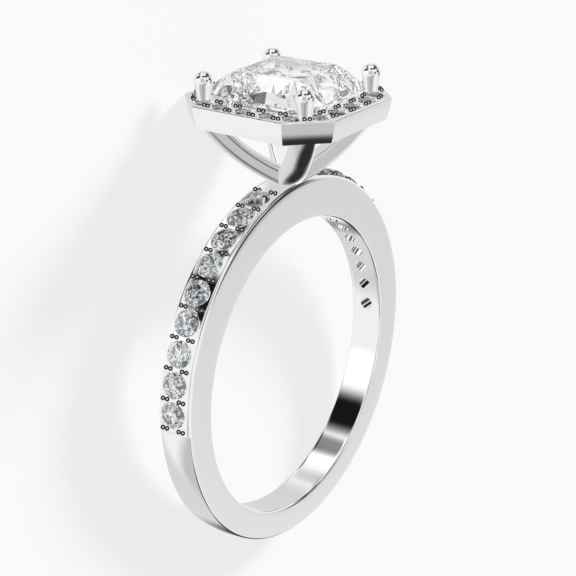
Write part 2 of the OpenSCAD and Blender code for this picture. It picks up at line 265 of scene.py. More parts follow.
def joined(patches):
    """Many patches as one: points lists put end to end, quads counted on."""
    start = np.cumsum([0] + [len(p) for p, _ in patches[:-1]])
    return np.vstack([p for p, _ in patches]), np.vstack([q + s for (_, q), s in zip(patches, start)])


def metal_piece(name, patches, sharp, material):
    """One mesh from patches: points nearer than a tenth of a micrometre are welded, faces face outwards,
    and only edges sharper than the given angle stay sharp. It replaces the body's node."""
    points, quads = joined(patches)
    _, first, index = np.unique(np.round(points, 4), axis=0, return_index=True, return_inverse=True)
    points, quads = points[first], index.reshape(-1)[quads]
    nxt = np.roll(quads, -1, 1)
    doubled = quads == nxt
    full = quads[doubled.sum(1) == 0]
    part = quads[doubled.sum(1) == 1]
    keep = np.argsort(doubled[doubled.sum(1) == 1], axis=1, kind="stable")[:, :3]
    triangles = np.take_along_axis(part, np.sort(keep, 1), 1)
    mesh = bpy.data.meshes.new(name)
    mesh.from_pydata(to_frame(points).tolist(), [], full.tolist() + triangles.tolist())
    mesh.validate()
    work = bmesh.new()
    work.from_mesh(mesh)
    bmesh.ops.recalc_face_normals(work, faces=work.faces)
    work.to_mesh(mesh)
    work.free()
    mesh.polygons.foreach_set("use_smooth", np.ones(len(mesh.polygons), bool))
    mesh.set_sharp_from_angle(angle=math.radians(sharp))
    mesh.materials.append(material)
    piece = bpy.data.objects.new(name, mesh)
    bpy.context.scene.collection.objects.link(piece)
    flat_faces = piece.modifiers.new("keep_flat_faces_flat", "WEIGHTED_NORMAL")
    flat_faces.mode = "FACE_AREA"
    flat_faces.keep_sharp = True
    piece.visible_glossy = False
    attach(piece, "root")
    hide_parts(BODY)


def polar(angle):
    """Unit vectors at an angle from the top towards +X, in the plane of the band."""
    return np.stack([np.sin(angle), np.cos(angle)], -1)


def blend(a, b, steps):
    """Points in equal steps from a to b, as new rows."""
    t = np.linspace(0, 1, steps + 1).reshape((-1,) + (1,) * np.ndim(a))
    return a + (b - a) * t


CELL = 12  # steps along each of the four sides of a stone's cell
RINGS = 4  # steps from a seat or a hole out to the sides of a stone's cell
FILLET = 6  # steps round a rounded edge
SIDE = 4  # steps down a side of the band or up the halo's opening
CONE = 0.86  # a seat's cone: depth for each unit of radius, as a stone's pavilion has


def groove(p, across):
    """How far the outside of the set part lies below its edges: most in the middle, and less by the square
    of the way out."""
    return p.groove * (1 - (across / (p.width / 2 - p.edge_r)) ** 2)


def bore_ray(p, ang, r):
    """Distance from the outer circle's middle, at an angle from the top, to a circle about the bore's
    axis."""
    return np.sqrt(r ** 2 - (p.lift * np.sin(ang)) ** 2) - p.lift * np.cos(ang)


def band_rows(p, ang, plain):
    """The band's closed section at each angle: the outside across the width, a fillet, the side, the lip,
    the bore across the width, and back. The outside is hollowed by the groove, or a low dome on the plain
    part. Points are laid out by their distance from the outer circle's middle, or from the bore's axis for
    the lips and the bore."""
    edge = p.width / 2 - p.edge_r
    if plain:
        dome_r = ((p.width / 2) ** 2 + p.dome ** 2) / (2 * p.dome)
        low = p.outer_r - p.drop - dome_r
        fall = p.edge_r
        fillet_r = low + math.sqrt((dome_r - p.edge_r) ** 2 - edge ** 2)
        turn = math.asin(edge / (dome_r - p.edge_r))
        across = np.linspace(-1, 1, CELL + 1) * dome_r * math.sin(turn)
        height = low + np.sqrt(dome_r ** 2 - across ** 2)
    else:
        fall, turn = p.edge_fall, 0.0
        fillet_r = p.outer_r - fall
        across = np.linspace(-edge, edge, CELL + 1)
        height = p.outer_r - groove(p, across)
    a = np.linspace(turn, math.pi / 2, FILLET + 1)
    fillet = np.stack([fillet_r + fall * np.cos(a), edge + p.edge_r * np.sin(a)], -1)
    b = np.linspace(math.pi / 2, 0, FILLET + 1)
    lip = np.stack([p.bore_r + p.edge_r - p.edge_r * np.cos(b), edge + p.edge_r * np.sin(b)], -1)
    bore = np.stack([np.full(CELL + 1, p.bore_r), np.linspace(edge, -edge, CELL + 1)], -1)
    ray = polar(ang)
    middle = np.array([0.0, p.lift])
    on_bore = middle + ray * bore_ray(p, ang, p.bore_r)[:, None]
    bore_dir = on_bore / np.linalg.norm(on_bore, axis=-1, keepdims=True)

    def outer(profile):
        """Points at distances from the outer circle's middle."""
        flat = middle + ray[:, None] * profile[:, 0][None, :, None]
        return np.stack([flat[..., 0], np.broadcast_to(profile[:, 1], flat.shape[:2]), flat[..., 1]], -1)

    def inner(profile):
        """Points at distances from the bore's axis, in the bore's own directions."""
        flat = bore_dir[:, None] * profile[:, 0][None, :, None]
        return np.stack([flat[..., 0], np.broadcast_to(profile[:, 1], flat.shape[:2]), flat[..., 1]], -1)

    top = outer(np.stack([height, across], -1))
    right, right_lip = outer(fillet), inner(lip)
    side = blend(right[:, -1], right_lip[:, 0], SIDE).transpose(1, 0, 2)
    flip = np.array([1.0, -1.0, 1.0])
    half = np.concatenate([right[:, 1:], side[:, 1:-1], right_lip], 1)
    return np.concatenate([top, half, inner(bore)[:, 1:-1], (half * flip)[:, ::-1]], 1)


def from_stone(place, u, v, w):
    """Points about a stone's place on the outer circle: u along it, v across the width, w outwards."""
    origin, along, out = place
    flat = origin + u[..., None] * along + w[..., None] * out
    return np.stack([flat[..., 0], v, flat[..., 1]], -1)


def to_bore(at, out, bore_r):
    """How far along a direction each point meets the bore's circle: the larger root of the quadratic."""
    along = at @ out
    return -along + np.sqrt(along ** 2 - (at ** 2).sum(-1) + bore_r ** 2)


def band_cells(p, ang):
    """Seats of one stone at each angle: the outside round the seat, the seat's cone and hole, and the
    bore's wall round the hole. Each is a grid of rings between a circle and the sides of the stone's cell,
    on the outer circle of the band and on the bore. The outside lies below the arc by the groove."""
    edge = p.width / 2 - p.edge_r
    half_step = p.step / 2
    turn = np.linspace(-half_step, half_step, CELL + 1)
    wide = np.linspace(-edge, edge, CELL + 1)
    a_side = np.concatenate([turn[:-1], np.full(CELL, half_step), turn[:0:-1], np.full(CELL, -half_step)])
    v_side = np.concatenate([np.full(CELL, -edge), wide[:-1], np.full(CELL, edge), wide[:0:-1]])
    cone = (p.seat_r - p.hole_r) * CONE
    out = []
    middle = np.array([0.0, p.lift])
    for angle in ang:
        n, t = polar(angle), np.array([math.cos(angle), -math.sin(angle)])
        origin = middle + n * p.outer_r
        place = origin, t, n
        # Outside
        u_b = p.outer_r * np.sin(a_side)
        r_b = np.hypot(u_b, v_side)
        ux, vx = u_b / r_b, v_side / r_b
        low = p.sit + (p.seat_r * ux) ** 2 / (2 * p.outer_r) + groove(p, p.seat_r * vx)
        rim_r = p.seat_r - low / CONE
        rings = blend(rim_r, r_b, RINGS)
        u, v = rings * ux, rings * vx
        arc = np.sqrt(p.outer_r ** 2 - u ** 2) - p.outer_r - groove(p, v)
        out.append(patch(from_stone(place, u, v, arc), close_v=True))
        # Seat and hole
        hole_u, hole_v = p.hole_r * ux, p.hole_r * vx
        down = to_bore(origin + hole_u[:, None] * t, n, p.bore_r)
        hole = np.full_like(ux, p.hole_r)
        tube_r = np.stack([rim_r, hole, hole])
        tube_w = np.stack([arc[0], np.full_like(ux, p.sit - cone), down])
        out.append(patch(from_stone(place, tube_r * ux, tube_r * vx, tube_w), close_v=True))
        # Bore
        ray = polar(angle + a_side)
        on_bore = middle + ray * bore_ray(p, angle + a_side, p.bore_r)[:, None]
        u_in = (on_bore - origin) @ t
        u, v = blend(hole_u, u_in, RINGS), blend(hole_v, v_side, RINGS)
        w = to_bore(origin + u[..., None] * t, n, p.bore_r)
        out.append(patch(from_stone(place, u, v, w), close_v=True))
    return out


def band_patches(p):
    """The whole band, laid out by angle from the top: the sweep under the head, the shoulders' cells and
    sides, and the step down to the plain part."""
    first, step, end = p.first, p.step, p.set_end
    start = first - step / 2
    stop = start + p.stones * step
    edge_to_bore = CELL + FILLET + SIDE + FILLET
    out = [patch(band_rows(p, np.linspace(-start, start, 25), False), close_v=True)]
    side_a = np.linspace(start, stop, p.stones * CELL + 1)
    centres = first + step * np.arange(p.stones)
    for sign in (-1, 1):
        rows = band_rows(p, sign * side_a, False)
        out.append(patch(rows[:, CELL:edge_to_bore + 1]))
        out.append(patch(np.concatenate([rows[:, edge_to_bore + CELL:], rows[:, :1]], 1)))
        out += band_cells(p, sign * centres)
        tail = band_rows(p, sign * np.linspace(stop, end, 5), False)
        out.append(patch(tail, close_v=True))
        domed = band_rows(p, np.array([sign * end]), True)[0]
        out.append(patch(np.stack([tail[-1], domed]), close_v=True))
    around = np.linspace(end, 2 * math.pi - end, 241)
    out.append(patch(band_rows(p, around, True), close_v=True))
    return out


def octagon_corner(half, corner):
    """Half the length of an octagon's long side, from its two distances to the middle."""
    return corner * math.sqrt(2) - half


SIDE_STONES = 3  # halo stones along a long side
QUARTER = SIDE_STONES + 2  # halo stones of one long side and the cut corner after it
RIM_STONES = 4 * QUARTER


def turned(v, deg):
    """A flat vector turned about the head's axis."""
    a = math.radians(deg)
    return np.array([v[0] * math.cos(a) - v[1] * math.sin(a), v[0] * math.sin(a) + v[1] * math.cos(a)])


def rim_spots(p):
    """Middles of the halo's stones, in order: three along each long side, then two at its cut corner."""
    mid, mid_corner = p.half + p.width / 2, p.corner + p.width / 2
    spots = []
    for q in range(4):
        spots += [turned((mid, k * p.pitch), 90 * q) for k in (-1, 0, 1)]
        spots += [turned((mid_corner, k * p.pitch / 2), 90 * q + 45) for k in (-1, 1)]
    return spots


def between(spots, k):
    """Middle of the line from stone k to the next one, with the directions along it and outwards."""
    a, b = spots[k % RIM_STONES], spots[(k + 1) % RIM_STONES]
    along = (b - a) / np.linalg.norm(b - a)
    return (a + b) / 2, along, np.array([along[1], -along[0]])


def halo_patches(p):
    """The halo: twenty cells, one round each stone, between the opening and the outside. On each of the
    octagons the cells meet where the line half-way between two stones crosses the side. A cell at a cut
    corner holds the octagon's corner too. The top and bottom are rings of points between a stone's circle
    and its cell's sides."""
    bottom = p.top_z - p.height
    spots = rim_spots(p)

    def crossing(k, half, corner):
        """Where the line half-way between stone k and the next one crosses the octagon's side."""
        m, _, out = between(spots, k)
        q, place = divmod(k % RIM_STONES, QUARTER)
        n = turned((1, 0), (0, 0, 0, 45, 90)[place] + 90 * q)
        return m + out * ((corner if place == SIDE_STONES else half) - m @ n) / (out @ n)

    def path(k, half, corner):
        """A cell's points along one octagon, from the line before stone k to the line after it."""
        a, b = crossing(k - 1, half, corner), crossing(k, half, corner)
        q, place = divmod(k, QUARTER)
        if place < SIDE_STONES:
            return blend(a, b, CELL)
        s = octagon_corner(half, corner)
        c = turned((half, s) if place == SIDE_STONES else (s, half), 90 * q)
        return np.concatenate([blend(a, c, CELL // 2), blend(c, b, CELL // 2)[1:]])

    def outward(upper, lower):
        """Away from the head's axis, square to a side that leans in: the taper, made unit length."""
        out = upper - lower
        return out / np.linalg.norm(out, axis=-1, keepdims=True)

    def lifted(xy, z):
        """Flat points at one height."""
        return np.concatenate([xy, np.full(xy.shape[:-1] + (1,), z)], -1)

    def plate(centre, inner, outer, z, rings):
        """Rings from a stone's circle out to its cell's sides."""
        go, back = blend(inner[-1], outer[-1], CELL), blend(outer[0], inner[0], CELL)
        rim = np.concatenate([inner[:-1], go[:-1], outer[:0:-1], back[:-1]])
        ray = rim - centre
        ray /= np.linalg.norm(ray, axis=-1, keepdims=True)
        rows = [lifted(centre + ray * r, height) for r, height in rings]
        last = rows[-1]
        grid = np.concatenate([np.stack(rows), blend(last, lifted(rim, z), 3)[1:]])
        return patch(grid, close_v=True), ray

    out = []
    w = p.width
    bevel_r = p.seat_r + p.seat_bevel
    cone = (p.seat_r - p.hole_r) * CONE
    for k in range(RIM_STONES):
        inner = path(k, p.half, p.corner)
        top_edge = path(k, p.half + w - p.bevel, p.corner + w - p.bevel)
        rim_edge = path(k, p.half + w, p.corner + w)
        foot_edge = path(k, p.half + w - p.taper, p.corner + w - p.taper)
        a = np.linspace(0, math.pi / 2, FILLET + 1)[:, None, None]
        round_xy = top_edge + (rim_edge - top_edge) * np.sin(a)
        round_z = np.broadcast_to(p.top_z - p.bevel * (1 - np.cos(a)), round_xy.shape[:2] + (1,))
        out.append(patch(np.concatenate([round_xy, round_z], -1)))
        side = blend(lifted(rim_edge, p.top_z - p.bevel), lifted(foot_edge, bottom), 2 * SIDE)
        t = np.linspace(0, 1, 2 * SIDE + 1)[:, None]
        side[..., :2] += outward(rim_edge, foot_edge) * (4 * p.fullness * t * (1 - t))[..., None]
        out.append(patch(side))
        out.append(patch(blend(lifted(inner, bottom), lifted(inner, p.top_z), SIDE)))
        seat = [(p.seat_r, p.top_z - p.seat_bevel), (bevel_r, p.top_z)]
        top, ray_top = plate(spots[k], inner, top_edge, p.top_z, seat)
        low, ray_low = plate(spots[k], inner, foot_edge, bottom, [(p.hole_r, bottom)])
        tube = [
            lifted(spots[k] + ray_top * p.seat_r, p.top_z - p.seat_bevel),
            lifted(spots[k] + ray_top * p.seat_r, p.top_z - p.wall),
            lifted(spots[k] + ray_top * p.hole_r, p.top_z - p.wall - cone),
            lifted(spots[k] + ray_low * p.hole_r, bottom),
        ]
        out += [top, low, patch(np.stack(tube), close_v=True)]
    return out


def bar_section(p):
    """Closed section of a prong bar, outwards by sideways: a low arc outside, flat sides, rounded edges."""
    dome_r = ((p.bar_w / 2) ** 2 + p.bar_dome ** 2) / (2 * p.bar_dome)
    middle = p.bar_t / 2 - dome_r
    edge = p.bar_w / 2 - p.bar_rim
    reach = math.asin(edge / (dome_r - p.bar_rim))
    a = np.linspace(-reach, reach, 17)[1:-1]
    dome = np.stack([middle + dome_r * np.cos(a), dome_r * np.sin(a)], -1)
    c = np.linspace(reach, math.pi / 2, FILLET + 1)
    along = middle + math.sqrt((dome_r - p.bar_rim) ** 2 - edge ** 2)
    rim = np.stack([along + p.bar_rim * np.cos(c), edge + p.bar_rim * np.sin(c)], -1)
    dome = np.concatenate([(rim * [1, -1])[::-1], dome, rim])
    b = np.linspace(math.pi / 2, math.pi, 6)
    x, y = p.bar_edge - p.bar_t / 2, p.bar_w / 2 - p.bar_edge
    one = np.stack([x + p.bar_edge * np.cos(b), y + p.bar_edge * np.sin(b)], -1)
    flat = blend(one[-1], one[-1] * [1, -1], 6)[1:-1]
    side = blend(dome[-1], one[0], 3)[1:-1]
    return np.concatenate([dome, side, one, flat, (one * [1, -1])[::-1], (side * [1, -1])[::-1]])


def around_head(points, quarter):
    """Points turned about the head's axis by an eighth turn and quarters."""
    a = math.radians(45 + 90 * quarter)
    turn = np.array([[math.cos(a), -math.sin(a), 0], [math.sin(a), math.cos(a), 0], [0, 0, 1]])
    return points @ turn.T


BAR_STEPS = 40  # steps along a prong bar


def bar_patches(p):
    """Four bars, each the section carried along a circular arc in a diagonal plane of the head, with flat
    ends."""
    section = bar_section(p)
    ang = np.linspace(p.bend_from, p.bend_to, BAR_STEPS + 1)
    r = p.bend_r + section[:, 0]
    grid = np.stack([
        p.bend_s + r * np.cos(ang)[:, None],
        np.broadcast_to(section[:, 1], (len(ang), len(section))),
        p.bend_z + r * np.sin(ang)[:, None],
    ], -1)
    out = []
    for quarter in range(4):
        g = around_head(grid, quarter)
        out += [patch(g, close_v=True), disc(g[0]), disc(g[-1])]
    return out


NOTCH_RISE = 0.1  # how far over the girdle a claw starts to close over the stone's corner


def claw_patches(p):
    """Four claws turned about their own axes: a straight foot, a cone that touches the ball, and the ball's
    top. The ball's first angle is the one whose tangent passes through the foot's edge. What would reach
    into the stone's corner is pressed back to it."""
    drop = p.claw_ball - p.claw_base
    turn = math.atan2(drop, p.claw_foot_r) - math.acos(p.claw_r / math.hypot(drop, p.claw_foot_r))
    a = np.linspace(-turn, math.pi / 2, 17)
    ball_part = np.stack([p.claw_r * np.cos(a), p.claw_ball + p.claw_r * np.sin(a)], -1)
    base = np.array([p.claw_foot_r, p.claw_base])
    profile = np.concatenate([[[p.claw_foot_r, p.claw_foot]], blend(base, ball_part[0], 8)[:-1], ball_part])
    around = np.radians(np.arange(0, 360, 7.5))
    grid = np.stack([
        p.claw_s + profile[:, :1] * np.cos(around),
        profile[:, :1] * np.sin(around),
        np.broadcast_to(profile[:, 1:], (len(profile), len(around))),
    ], -1)
    over = np.maximum(0, grid[..., 2] - p.girdle_z - NOTCH_RISE)
    grid[..., 0] = np.maximum(grid[..., 0], p.stone_corner - over)
    out = []
    for quarter in range(4):
        g = around_head(grid, quarter)
        out += [patch(g, close_v=True), disc(g[0])]
    return out


def ball(radius):
    """A ball as a grid of rings between its poles, by latitude and longitude."""
    lat = np.radians(np.linspace(-90, 90, 11))
    lon = np.radians(np.arange(0, 360, 22.5))
    return np.stack([
        radius * np.cos(lat)[:, None] * np.cos(lon),
        radius * np.cos(lat)[:, None] * np.sin(lon),
        np.broadcast_to(radius * np.sin(lat)[:, None], (len(lat), len(lon))),
    ], -1)


# Beads of the band: height over the metal, and a pair's two shares of half the width
BAND_BEAD_RISE = 0.08
BAND_BEAD_SHARES = (0.38, 0.66)
# Beads of the halo: height over the metal, way out from the line of stones, and either way along it
RIM_BEAD_RISE = 0.07
RIM_BEAD_OUT = 0.47
RIM_BEAD_ALONG = 0.14


def bead_centres(band, halo):
    """Middles of the beads: pairs at both edges of each line between two stones, on the shoulders and the
    halo. The line inside a cut corner has a pair on the outer edge alone."""
    out = []
    for sign in (-1, 1):
        for k in range(band.stones + 1):
            n = polar(sign * (band.first + (k - 0.5) * band.step))
            flat = np.array([0.0, band.lift]) + n * (band.outer_r + BAND_BEAD_RISE)
            out += [(flat[0], s * y * band.width / 2, flat[1]) for s in (-1, 1) for y in BAND_BEAD_SHARES]
    spots = rim_spots(halo)
    for k in range(RIM_STONES):
        middle, along, outward = between(spots, k)
        for sign in ((1,) if k % QUARTER == SIDE_STONES else (-1, 1)):
            for s in (-1, 1):
                x, y = middle + outward * sign * RIM_BEAD_OUT + along * s * RIM_BEAD_ALONG
                out.append((x, y, halo.top_z + RIM_BEAD_RISE))
    return np.array(out)


# Finishes, with the painted sparkle of the small stones and the painted dark rims of the beads

# A small stone's painted sparkle: flecks that stand in for dark and bright reflected facets, from dark to
# clear
PAINTED_DARK_FLECK = (0.03, 0.04, 0.05)
PAINTED_COOL_FLECK = (0.7, 0.78, 0.84)
PAINTED_CLEAR_FLECK = (1.0, 1.0, 1.0)
# A bead's painted dark rim, painted shade and a painted reflection of the dark gaps round it: where it
# starts and is full, by how far the surface turns from the view, and its black
PAINTED_RIM_FROM = 0.02
PAINTED_RIM_FULL = 0.1
PAINTED_RIM_BLACK = (0.01, 0.01, 0.01)


def mask_group(name):
    """A shader group that puts out one mask, with the piece's own coordinates and the group's output."""
    group = bpy.data.node_groups.new(name, "ShaderNodeTree")
    group.interface.new_socket("Mask", in_out="OUTPUT", socket_type="NodeSocketFloat")
    where = group.nodes.new("ShaderNodeTexCoord")
    return group, where.outputs["Object"], group.nodes.new("NodeGroupOutput")


def effect_group(name, scale, detail, low, high):
    """A shader group that turns the piece's own coordinates into a soft mask between two values."""
    group, where, out = mask_group(name)
    noise = group.nodes.new("ShaderNodeTexNoise")
    noise.inputs["Scale"].default_value = scale
    noise.inputs["Detail"].default_value = detail
    spread = group.nodes.new("ShaderNodeMapRange")
    spread.inputs["To Min"].default_value = low
    spread.inputs["To Max"].default_value = high
    group.links.new(where, noise.inputs["Vector"])
    group.links.new(noise.outputs["Fac"], spread.inputs["Value"])
    group.links.new(spread.outputs["Result"], out.inputs["Mask"])
    return group


def painted_sparkle_group(name, size):
    """A shader group that gives each little cell of a stone a value of its own, for its flecks of painted
    reflection.
    """
    group, where, out = mask_group(name)
    cells = group.nodes.new("ShaderNodeTexVoronoi")
    cells.inputs["Scale"].default_value = 1 / (size * MM)
    group.links.new(where, cells.inputs["Vector"])
    group.links.new(cells.outputs["Color"], out.inputs["Mask"])
    return group


def new_material(name):
    """A node material with its shader, nodes and links."""
    material = bpy.data.materials.new(name)
    material.use_nodes = True
    nodes = material.node_tree.nodes
    return material, nodes["Principled BSDF"], nodes, material.node_tree.links


def ramp_from(nodes, links, value, shader):
    """A colour ramp between a value and the shader's base colour."""
    ramp = nodes.new("ShaderNodeValToRGB")
    links.new(value, ramp.inputs["Fac"])
    links.new(ramp.outputs["Color"], shader.inputs["Base Color"])
    return ramp.color_ramp


def mask_of(nodes, group):
    """A group's mask, placed in a material."""
    mask = nodes.new("ShaderNodeGroup")
    mask.node_tree = group
    return mask.outputs["Mask"]


def tinted(nodes, links, group, shader, low, high):
    """Base colour from a group's mask, between two near colours."""
    ramp = ramp_from(nodes, links, mask_of(nodes, group), shader)
    ramp.elements[0].color = (*low, 1)
    ramp.elements[1].color = (*high, 1)


def painted_sparkle_flecks(nodes, links, group, shader, dark, clear):
    """Base colour in steps from a group's mask, as painted reflections of facets: dark flecks below one
    value, clear ones above the other, bluish ones between."""
    ramp = ramp_from(nodes, links, mask_of(nodes, group), shader)
    ramp.interpolation = "CONSTANT"
    ramp.elements[0].color = (*PAINTED_DARK_FLECK, 1)
    ramp.elements[1].position = clear
    ramp.elements[1].color = (*PAINTED_CLEAR_FLECK, 1)
    ramp.elements.new(dark).color = (*PAINTED_COOL_FLECK, 1)


def metal_material(p):
    """Polished white metal, with a faint cloud in its tone and its polish."""
    material, shader, nodes, links = new_material("white_gold_polished")
    shader.inputs["Metallic"].default_value = 1.0
    tone = tuple(p.metal)
    cloud = effect_group("metal_tone", scale=400, detail=2, low=0, high=1)
    tinted(nodes, links, cloud, shader, tuple(c * 0.985 for c in tone), tone)
    polish = effect_group("metal_polish", 900, 3, low=p.metal_rough * 0.7, high=p.metal_rough * 1.3)
    links.new(mask_of(nodes, polish), shader.inputs["Roughness"])
    return material


def bead_material(p):
    """Polished metal of the beads, with painted shade and a painted dark reflection at the rim: the base
    colour turns black where the surface turns away from the view.
    """
    material, shader, nodes, links = new_material("white_gold_beads_painted_rim")
    shader.inputs["Metallic"].default_value = 1.0
    shader.inputs["Roughness"].default_value = p.metal_rough
    turn = nodes.new("ShaderNodeLayerWeight")
    turn.inputs["Blend"].default_value = 0.5
    # Painted shade and reflection: the base colour goes from the metal's tone to black towards the bead's
    # rim
    ring = ramp_from(nodes, links, turn.outputs["Facing"], shader)
    ring.elements[0].position = PAINTED_RIM_FROM
    ring.elements[0].color = (*p.metal, 1)
    ring.elements[1].position = PAINTED_RIM_FULL
    ring.elements[1].color = (*PAINTED_RIM_BLACK, 1)
    return material


def stone_material(p, name):
    """Clear, cut stone: a refracting shader, mixed with a transparent one for the metal's mirror rays,
    which pass the stones unseen. Such a ray is glossy and hasn't passed through a stone yet."""
    material, shader, nodes, links = new_material(name)
    shader.inputs["Metallic"].default_value = 0.0
    shader.inputs["Roughness"].default_value = 0.0
    shader.inputs["IOR"].default_value = p.stone_ior
    shader.inputs["Transmission Weight"].default_value = 1.0
    path = nodes.new("ShaderNodeLightPath")
    outside = nodes.new("ShaderNodeMath")
    outside.operation = "LESS_THAN"
    outside.inputs[1].default_value = 0.5
    links.new(path.outputs["Transmission Depth"], outside.inputs[0])
    both = nodes.new("ShaderNodeMath")
    both.operation = "MULTIPLY"
    links.new(outside.outputs["Value"], both.inputs[0])
    links.new(path.outputs["Is Glossy Ray"], both.inputs[1])
    clear = nodes.new("ShaderNodeBsdfTransparent")
    unseen = nodes.new("ShaderNodeMixShader")
    links.new(both.outputs["Value"], unseen.inputs["Fac"])
    links.new(shader.outputs["BSDF"], unseen.inputs[1])
    links.new(clear.outputs["BSDF"], unseen.inputs[2])
    links.new(unseen.outputs["Shader"], nodes["Material Output"].inputs["Surface"])
    return material, shader, nodes, links


# Stage

def camera_axes(p):
    """Camera's right, up and back directions in the upright frame, from its turn, height and roll."""
    az, el, roll = p.azimuth, p.elevation, p.roll
    back = np.array([-math.sin(az) * math.cos(el), -math.cos(az) * math.cos(el), math.sin(el)])
    right = np.array([math.cos(az), -math.sin(az), 0.0])
    up = np.cross(back, right)
    return right * math.cos(roll) + up * math.sin(roll), up * math.cos(roll) - right * math.sin(roll), back


def build_camera(p):
    """The photograph's camera, carried along with the ring as it lies."""
    right, up, back = camera_axes(p)
    eye = to_frame(back * p.distance - right * p.shift_x - up * p.shift_y)
    axes = np.stack([direction(right), direction(up), direction(back)], -1)
    data = bpy.data.cameras.new("camera")
    data.lens = p.lens
    data.sensor_width = 36.0
    data.clip_start = 0.002
    camera = bpy.data.objects.new("camera", data)
    matrix = np.eye(4)
    matrix[:3, :3] = axes
    matrix[:3, 3] = eye
    camera.matrix_world = Matrix(matrix.tolist())
    bpy.context.scene.collection.objects.link(camera)
    bpy.context.scene.camera = camera


# The floor: metres from its middle to each side, and the two near tones of its paper
FLOOR_REACH = 12.0
FLOOR_LOW = (0.17, 0.17, 0.17)
FLOOR_HIGH = (0.175, 0.175, 0.175)


def build_floor(p):
    """A plain pale floor that glows a little, as a light table does, so that shadows stay light. The
    polished metal and the stones don't mirror it."""
    mesh = bpy.data.meshes.new("floor")
    corners = [(x * FLOOR_REACH, y * FLOOR_REACH, 0) for x, y in ((-1, -1), (1, -1), (1, 1), (-1, 1))]
    mesh.from_pydata(corners, [], [(0, 1, 2, 3)])
    material, shader, nodes, links = new_material("floor_paper")
    shader.inputs["Roughness"].default_value = 0.9
    shader.inputs["Specular IOR Level"].default_value = 0.0
    shader.inputs["Emission Color"].default_value = (1, 1, 1, 1)
    shader.inputs["Emission Strength"].default_value = p.glow
    paper = effect_group("floor_tone", scale=3, detail=1, low=0, high=1)
    tinted(nodes, links, paper, shader, FLOOR_LOW, FLOOR_HIGH)
    mesh.materials.append(material)
    floor = bpy.data.objects.new("floor", mesh)
    bpy.context.scene.collection.objects.link(floor)
    floor.visible_glossy = False
    floor.visible_transmission = False


# Round patches of the surroundings that the polish mirrors, a later one over an earlier one: degrees round
# the upright ring from +Y towards +X, degrees up, reach and softness in degrees, brightness
BOARDS = (
    (-110, -60, 40, 6, 0.62),
    (14, -48, 30, 8, 0.77),
    (46, 8, 32, 6, 0.76),
    (-117, 18, 24, 8, 0.62),
    (-147, -20, 15, 6, 0.62),
    (-120, -38, 9, 6, 0.42),
    (118, -26, 18, 8, 0.88),
    (124, -12, 12, 8, 0.78),
    (4, 70, 17, 4, 1.2),
    (-60, 16, 12, 4, 1.25),
    (-152, -60, 17, 4, 0.03),
    (102, -69, 20, 8, 0.03),
    (62, -54, 13, 7, 0.03),
    (-46, 46, 13, 6, 0.01),
    (-8, 58, 7, 3, 0.3),
    (-26, 29, 12, 3, 0.01),
    (-125, 68, 13, 5, 0.15),
    (52, 55, 8, 4, 0.55),
    (22, 45, 8, 3, 0.05),
    (85, 45, 9, 3, 0.08),
    (-175, 62, 9, 3, 0.05),
    (128, 16, 7, 3, 0.05),
    (-4, 51, 8, 3, 0.03),
    (157, 58, 12, 3, 0.01),
    (112, 48, 15, 3, 0.01),
    (133, 34, 9, 3, 0.02),
    (150, 18, 11, 3, 0.02),
    (-170, 14, 12, 4, 0.1),
    (132, -11, 7, 3, 0.03),
    (143, -8, 6, 3, 0.08),
    (131, 4, 8, 3, 0.06),
    (-139, -25, 5, 2, 0.02),
    (-151, -9, 4, 2, 0.1),
    (74, 8, 7, 3, 0.12),
)
# A ray through a stone meets the boards with more contrast: DIM and darker as DEEP, BRIGHT and lighter
# as CLEAR
DIM = 0.4
BRIGHT = 0.8
DEEP = 0.06
CLEAR = 1.08


